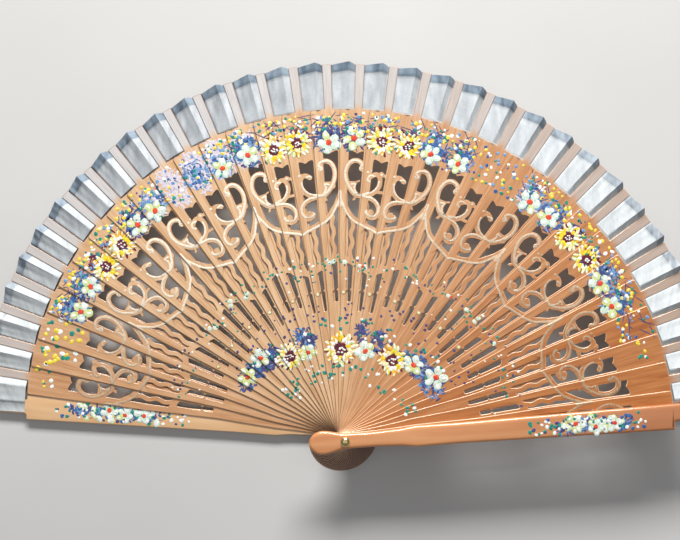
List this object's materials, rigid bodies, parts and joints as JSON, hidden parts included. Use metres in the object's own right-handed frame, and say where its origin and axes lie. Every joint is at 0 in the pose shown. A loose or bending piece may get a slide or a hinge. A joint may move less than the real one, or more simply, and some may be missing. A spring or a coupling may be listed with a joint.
{
  "type": "folding fan",
  "caption": "Hand-painted folding fan with pierced wooden sticks, solid guards, a brass rivet and a pleated cotton leaf, lying open.",
  "frame": {"origin": "on the rivet's axis, at the underside of the back guard", "axes": "+Z out of the painted front along the rivet, +Y from the rivet to the middle of the open fan, +X to the front guard's side"},
  "size_m": [0.4171, 0.2289, 0.033],
  "materials": {
    "stick_wood": "satin varnish",
    "guard_wood": "gloss varnish",
    "leaf_cotton": "plain weave",
    "rivet_brass": "polished",
    "paint": "hand-painted enamel"
  },
  "bodies": {
    "back_guard": {"back_guard": "guard_wood", "rivet": "rivet_brass", "front_washer": "rivet_brass", "back_washer": "rivet_brass", "leaf": "leaf_cotton"},
    "stick_01": {"stick_01": "stick_wood"},
    "stick_02": {"stick_02": "stick_wood"},
    "stick_03": {"stick_03": "stick_wood"},
    "stick_04": {"stick_04": "stick_wood"},
    "stick_05": {"stick_05": "stick_wood"},
    "stick_06": {"stick_06": "stick_wood"},
    "stick_07": {"stick_07": "stick_wood"},
    "stick_08": {"stick_08": "stick_wood"},
    "stick_09": {"stick_09": "stick_wood"},
    "stick_10": {"stick_10": "stick_wood"},
    "stick_11": {"stick_11": "stick_wood"},
    "stick_12": {"stick_12": "stick_wood"},
    "stick_13": {"stick_13": "stick_wood"},
    "stick_14": {"stick_14": "stick_wood"},
    "stick_15": {"stick_15": "stick_wood"},
    "stick_16": {"stick_16": "stick_wood"},
    "stick_17": {"stick_17": "stick_wood"},
    "stick_18": {"stick_18": "stick_wood"},
    "stick_19": {"stick_19": "stick_wood"},
    "stick_20": {"stick_20": "stick_wood"},
    "stick_21": {"stick_21": "stick_wood"},
    "stick_22": {"stick_22": "stick_wood"},
    "stick_23": {"stick_23": "stick_wood"},
    "stick_24": {"stick_24": "stick_wood"},
    "stick_25": {"stick_25": "stick_wood"},
    "stick_26": {"stick_26": "stick_wood"},
    "stick_27": {"stick_27": "stick_wood"},
    "stick_28": {"stick_28": "stick_wood"},
    "stick_29": {"stick_29": "stick_wood"},
    "stick_30": {"stick_30": "stick_wood"},
    "stick_31": {"stick_31": "stick_wood"},
    "stick_32": {"stick_32": "stick_wood"},
    "stick_33": {"stick_33": "stick_wood"},
    "front_guard": {"front_guard": "guard_wood"}
  },
  "joints": [
    {"name": "open_stick_01", "type": "hinge", "parent": "back_guard", "child": "stick_01", "pos_m": [0, 0, 0], "axis": [0, 0, 1], "range_deg": [0, 5.6], "deforming": ["leaf"]},
    {"name": "open_stick_02", "type": "hinge", "parent": "stick_01", "child": "stick_02", "pos_m": [0, 0, 0], "axis": [0, 0, 1], "range_deg": [0, 5.14]},
    {"name": "open_stick_03", "type": "hinge", "parent": "stick_02", "child": "stick_03", "pos_m": [0, 0, 0], "axis": [0, 0, 1], "range_deg": [0, 5.14]},
    {"name": "open_stick_04", "type": "hinge", "parent": "stick_03", "child": "stick_04", "pos_m": [0, 0, 0], "axis": [0, 0, 1], "range_deg": [0, 5.14]},
    {"name": "open_stick_05", "type": "hinge", "parent": "stick_04", "child": "stick_05", "pos_m": [0, 0, 0], "axis": [0, 0, 1], "range_deg": [0, 5.14]},
    {"name": "open_stick_06", "type": "hinge", "parent": "stick_05", "child": "stick_06", "pos_m": [0, 0, 0], "axis": [0, 0, 1], "range_deg": [0, 5.14]},
    {"name": "open_stick_07", "type": "hinge", "parent": "stick_06", "child": "stick_07", "pos_m": [0, 0, 0], "axis": [0, 0, 1], "range_deg": [0, 5.14]},
    {"name": "open_stick_08", "type": "hinge", "parent": "stick_07", "child": "stick_08", "pos_m": [0, 0, 0], "axis": [0, 0, 1], "range_deg": [0, 5.14]},
    {"name": "open_stick_09", "type": "hinge", "parent": "stick_08", "child": "stick_09", "pos_m": [0, 0, 0], "axis": [0, 0, 1], "range_deg": [0, 5.14]},
    {"name": "open_stick_10", "type": "hinge", "parent": "stick_09", "child": "stick_10", "pos_m": [0, 0, 0], "axis": [0, 0, 1], "range_deg": [0, 5.14]},
    {"name": "open_stick_11", "type": "hinge", "parent": "stick_10", "child": "stick_11", "pos_m": [0, 0, 0], "axis": [0, 0, 1], "range_deg": [0, 5.14]},
    {"name": "open_stick_12", "type": "hinge", "parent": "stick_11", "child": "stick_12", "pos_m": [0, 0, 0], "axis": [0, 0, 1], "range_deg": [0, 5.14]},
    {"name": "open_stick_13", "type": "hinge", "parent": "stick_12", "child": "stick_13", "pos_m": [0, 0, 0], "axis": [0, 0, 1], "range_deg": [0, 5.14]},
    {"name": "open_stick_14", "type": "hinge", "parent": "stick_13", "child": "stick_14", "pos_m": [0, 0, 0], "axis": [0, 0, 1], "range_deg": [0, 5.14]},
    {"name": "open_stick_15", "type": "hinge", "parent": "stick_14", "child": "stick_15", "pos_m": [0, 0, 0], "axis": [0, 0, 1], "range_deg": [0, 5.14]},
    {"name": "open_stick_16", "type": "hinge", "parent": "stick_15", "child": "stick_16", "pos_m": [0, 0, 0], "axis": [0, 0, 1], "range_deg": [0, 5.14]},
    {"name": "open_stick_17", "type": "hinge", "parent": "stick_16", "child": "stick_17", "pos_m": [0, 0, 0], "axis": [0, 0, 1], "range_deg": [0, 5.14]},
    {"name": "open_stick_18", "type": "hinge", "parent": "stick_17", "child": "stick_18", "pos_m": [0, 0, 0], "axis": [0, 0, 1], "range_deg": [0, 5.14]},
    {"name": "open_stick_19", "type": "hinge", "parent": "stick_18", "child": "stick_19", "pos_m": [0, 0, 0], "axis": [0, 0, 1], "range_deg": [0, 5.14]},
    {"name": "open_stick_20", "type": "hinge", "parent": "stick_19", "child": "stick_20", "pos_m": [0, 0, 0], "axis": [0, 0, 1], "range_deg": [0, 5.14]},
    {"name": "open_stick_21", "type": "hinge", "parent": "stick_20", "child": "stick_21", "pos_m": [0, 0, 0], "axis": [0, 0, 1], "range_deg": [0, 5.14]},
    {"name": "open_stick_22", "type": "hinge", "parent": "stick_21", "child": "stick_22", "pos_m": [0, 0, 0], "axis": [0, 0, 1], "range_deg": [0, 5.14]},
    {"name": "open_stick_23", "type": "hinge", "parent": "stick_22", "child": "stick_23", "pos_m": [0, 0, 0], "axis": [0, 0, 1], "range_deg": [0, 5.14]},
    {"name": "open_stick_24", "type": "hinge", "parent": "stick_23", "child": "stick_24", "pos_m": [0, 0, 0], "axis": [0, 0, 1], "range_deg": [0, 5.14]},
    {"name": "open_stick_25", "type": "hinge", "parent": "stick_24", "child": "stick_25", "pos_m": [0, 0, 0], "axis": [0, 0, 1], "range_deg": [0, 5.14]},
    {"name": "open_stick_26", "type": "hinge", "parent": "stick_25", "child": "stick_26", "pos_m": [0, 0, 0], "axis": [0, 0, 1], "range_deg": [0, 5.14]},
    {"name": "open_stick_27", "type": "hinge", "parent": "stick_26", "child": "stick_27", "pos_m": [0, 0, 0], "axis": [0, 0, 1], "range_deg": [0, 5.14]},
    {"name": "open_stick_28", "type": "hinge", "parent": "stick_27", "child": "stick_28", "pos_m": [0, 0, 0], "axis": [0, 0, 1], "range_deg": [0, 5.14]},
    {"name": "open_stick_29", "type": "hinge", "parent": "stick_28", "child": "stick_29", "pos_m": [0, 0, 0], "axis": [0, 0, 1], "range_deg": [0, 5.14]},
    {"name": "open_stick_30", "type": "hinge", "parent": "stick_29", "child": "stick_30", "pos_m": [0, 0, 0], "axis": [0, 0, 1], "range_deg": [0, 5.14]},
    {"name": "open_stick_31", "type": "hinge", "parent": "stick_30", "child": "stick_31", "pos_m": [0, 0, 0], "axis": [0, 0, 1], "range_deg": [0, 5.14]},
    {"name": "open_stick_32", "type": "hinge", "parent": "stick_31", "child": "stick_32", "pos_m": [0, 0, 0], "axis": [0, 0, 1], "range_deg": [0, 5.14]},
    {"name": "open_stick_33", "type": "hinge", "parent": "stick_32", "child": "stick_33", "pos_m": [0, 0, 0], "axis": [0, 0, 1], "range_deg": [0, 5.14]},
    {"name": "open_front_guard", "type": "hinge", "parent": "stick_33", "child": "front_guard", "pos_m": [0, 0, 0], "axis": [0, 0, 1], "range_deg": [0, 1.33]}
  ],
  "couplings": [
    {"joint": "open_stick_02", "follows": "open_stick_01", "ratio": 0.9178},
    {"joint": "open_stick_03", "follows": "open_stick_01", "ratio": 0.9178},
    {"joint": "open_stick_04", "follows": "open_stick_01", "ratio": 0.9178},
    {"joint": "open_stick_05", "follows": "open_stick_01", "ratio": 0.9178},
    {"joint": "open_stick_06", "follows": "open_stick_01", "ratio": 0.9178},
    {"joint": "open_stick_07", "follows": "open_stick_01", "ratio": 0.9178},
    {"joint": "open_stick_08", "follows": "open_stick_01", "ratio": 0.9178},
    {"joint": "open_stick_09", "follows": "open_stick_01", "ratio": 0.9178},
    {"joint": "open_stick_10", "follows": "open_stick_01", "ratio": 0.9178},
    {"joint": "open_stick_11", "follows": "open_stick_01", "ratio": 0.9178},
    {"joint": "open_stick_12", "follows": "open_stick_01", "ratio": 0.9178},
    {"joint": "open_stick_13", "follows": "open_stick_01", "ratio": 0.9178},
    {"joint": "open_stick_14", "follows": "open_stick_01", "ratio": 0.9178},
    {"joint": "open_stick_15", "follows": "open_stick_01", "ratio": 0.9178},
    {"joint": "open_stick_16", "follows": "open_stick_01", "ratio": 0.9178},
    {"joint": "open_stick_17", "follows": "open_stick_01", "ratio": 0.9178},
    {"joint": "open_stick_18", "follows": "open_stick_01", "ratio": 0.9178},
    {"joint": "open_stick_19", "follows": "open_stick_01", "ratio": 0.9178},
    {"joint": "open_stick_20", "follows": "open_stick_01", "ratio": 0.9178},
    {"joint": "open_stick_21", "follows": "open_stick_01", "ratio": 0.9178},
    {"joint": "open_stick_22", "follows": "open_stick_01", "ratio": 0.9178},
    {"joint": "open_stick_23", "follows": "open_stick_01", "ratio": 0.9178},
    {"joint": "open_stick_24", "follows": "open_stick_01", "ratio": 0.9178},
    {"joint": "open_stick_25", "follows": "open_stick_01", "ratio": 0.9178},
    {"joint": "open_stick_26", "follows": "open_stick_01", "ratio": 0.9178},
    {"joint": "open_stick_27", "follows": "open_stick_01", "ratio": 0.9178},
    {"joint": "open_stick_28", "follows": "open_stick_01", "ratio": 0.9178},
    {"joint": "open_stick_29", "follows": "open_stick_01", "ratio": 0.9178},
    {"joint": "open_stick_30", "follows": "open_stick_01", "ratio": 0.9178},
    {"joint": "open_stick_31", "follows": "open_stick_01", "ratio": 0.9178},
    {"joint": "open_stick_32", "follows": "open_stick_01", "ratio": 0.9178},
    {"joint": "open_stick_33", "follows": "open_stick_01", "ratio": 0.9178},
    {"joint": "open_front_guard", "follows": "open_stick_01", "ratio": 0.2375}
  ]
}
